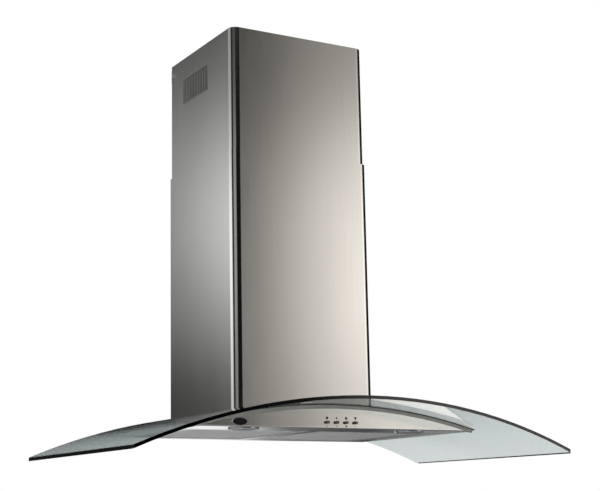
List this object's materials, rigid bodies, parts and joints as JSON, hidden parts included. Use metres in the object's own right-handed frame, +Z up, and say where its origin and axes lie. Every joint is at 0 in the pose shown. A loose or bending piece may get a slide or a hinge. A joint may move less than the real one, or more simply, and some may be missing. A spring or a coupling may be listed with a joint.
{
  "type": "range hood",
  "caption": "Wall-mounted range hood: arched glass canopy on a lens-shaped steel body, telescopic chimney, hinged grease filters, push buttons and blower.",
  "frame": {"origin": "centre of the four wall fixing holes, in the rear face of the blower housing (the wall plane)", "axes": "+X to the right as seen from the front, +Y into the wall, +Z up"},
  "size_m": [0.9, 0.513, 0.8266],
  "materials": {
    "brushed_stainless": "fine vertical or lengthwise brushing",
    "canopy_glass": "clear tempered glass with a dark green edge",
    "seal_rubber": "matte",
    "trim_rubber": "matte grey",
    "badge_black": "glossy",
    "chrome_trim": "polished",
    "button_black": "satin",
    "switch_grey": "matte",
    "galvanised": "zinc coated sheet",
    "screw_steel": "zinc plated",
    "filter_aluminium": "satin",
    "lamp_glass": "frosted",
    "lamp_aluminium": "cast",
    "guide_felt": "felt",
    "vent_black": "matte",
    "scroll_plastic": "moulded",
    "motor_steel": "painted",
    "shaft_steel": "ground",
    "box_plastic": "moulded light grey",
    "gland_plastic": "moulded",
    "capacitor_plastic": "moulded white",
    "catch_steel": "spring steel"
  },
  "bodies": {
    "hood": {"glass_canopy": "canopy_glass", "glass_seal": "seal_rubber", "glass_grommets": "seal_rubber", "glass_screws": "screw_steel", "canopy_body": "brushed_stainless", "fascia_panel": "brushed_stainless", "trim_strip": "trim_rubber", "badge_plate": "badge_black", "badge_rim": "chrome_trim", "switch_block": "switch_grey", "filter_catches": "catch_steel", "lamp_bezel_left": "chrome_trim", "lamp_bezel_right": "chrome_trim", "lamp_lens_left": "lamp_glass", "lamp_lens_right": "lamp_glass", "lamp_can_left": "lamp_aluminium", "lamp_can_right": "lamp_aluminium", "lower_chimney": "brushed_stainless", "chimney_guides": "guide_felt", "blower_housing": "galvanised", "blower_scroll": "scroll_plastic", "outlet_transition": "scroll_plastic", "motor": "motor_steel", "motor_bracket": "galvanised", "outlet_collar": "scroll_plastic", "flap_axle": "shaft_steel", "terminal_box": "box_plastic", "cable_gland": "gland_plastic", "lamp_driver": "box_plastic", "motor_capacitor": "capacitor_plastic"},
    "upper_cover": {"upper_chimney": "brushed_stainless", "chimney_bracket": "galvanised", "chimney_screws": "screw_steel", "vent_grille_left": "vent_black", "vent_grille_right": "vent_black"},
    "wheel": {"blower_wheel": "galvanised", "motor_shaft": "shaft_steel"},
    "damper_rear": {"flap_rear": "scroll_plastic"},
    "damper_front": {"flap_front": "scroll_plastic"},
    "filter_left": {"filter_frame_left": "filter_aluminium", "filter_mesh_left": "filter_aluminium"},
    "filter_right": {"filter_frame_right": "filter_aluminium", "filter_mesh_right": "filter_aluminium"},
    "handle_left": {"filter_handle_left": "shaft_steel"},
    "handle_right": {"filter_handle_right": "shaft_steel"},
    "button_1": {"button_1": "button_black"},
    "button_2": {"button_2": "button_black"},
    "button_3": {"button_3": "button_black"},
    "button_4": {"button_4": "button_black"}
  },
  "joints": [
    {"name": "chimney_slide", "type": "slide", "parent": "hood", "child": "upper_cover", "axis": [0, 0, 1], "range_m": [-0.196, 0.09]},
    {"name": "wheel_spin", "type": "hinge", "parent": "hood", "child": "wheel", "pos_m": [0, -0.103, -0.025], "axis": [1, 0, 0], "continuous": true},
    {"name": "damper_rear_swing", "type": "hinge", "parent": "hood", "child": "damper_rear", "pos_m": [0, -0.14, 0.1462], "axis": [1, 0, 0], "range_deg": [0, 75]},
    {"name": "damper_front_swing", "type": "hinge", "parent": "hood", "child": "damper_front", "pos_m": [0, -0.14, 0.1462], "axis": [-1, 0, 0], "range_deg": [0, 75]},
    {"name": "filter_left_drop", "type": "hinge", "parent": "hood", "child": "filter_left", "pos_m": [-0.136, -0.0245, -0.19885], "axis": [1, 0, 0], "range_deg": [0, 70]},
    {"name": "handle_left_fold", "type": "hinge", "parent": "filter_left", "child": "handle_left", "pos_m": [-0.136, -0.2778, -0.1978], "axis": [1, 0, 0], "range_deg": [0, 95]},
    {"name": "filter_right_drop", "type": "hinge", "parent": "hood", "child": "filter_right", "pos_m": [0.136, -0.0245, -0.19885], "axis": [1, 0, 0], "range_deg": [0, 70]},
    {"name": "handle_right_fold", "type": "hinge", "parent": "filter_right", "child": "handle_right", "pos_m": [0.136, -0.2778, -0.1978], "axis": [1, 0, 0], "range_deg": [0, 95]},
    {"name": "button_1_press", "type": "slide", "parent": "hood", "child": "button_1", "axis": [0, 1, 0], "range_m": [0, 0.002], "stiffness_N_per_m": 400, "springref_m": -0.002},
    {"name": "button_2_press", "type": "slide", "parent": "hood", "child": "button_2", "axis": [0, 1, 0], "range_m": [0, 0.002], "stiffness_N_per_m": 400, "springref_m": -0.002},
    {"name": "button_3_press", "type": "slide", "parent": "hood", "child": "button_3", "axis": [0, 1, 0], "range_m": [0, 0.002], "stiffness_N_per_m": 400, "springref_m": -0.002},
    {"name": "button_4_press", "type": "slide", "parent": "hood", "child": "button_4", "axis": [0, 1, 0], "range_m": [0, 0.002], "stiffness_N_per_m": 400, "springref_m": -0.002}
  ]
}
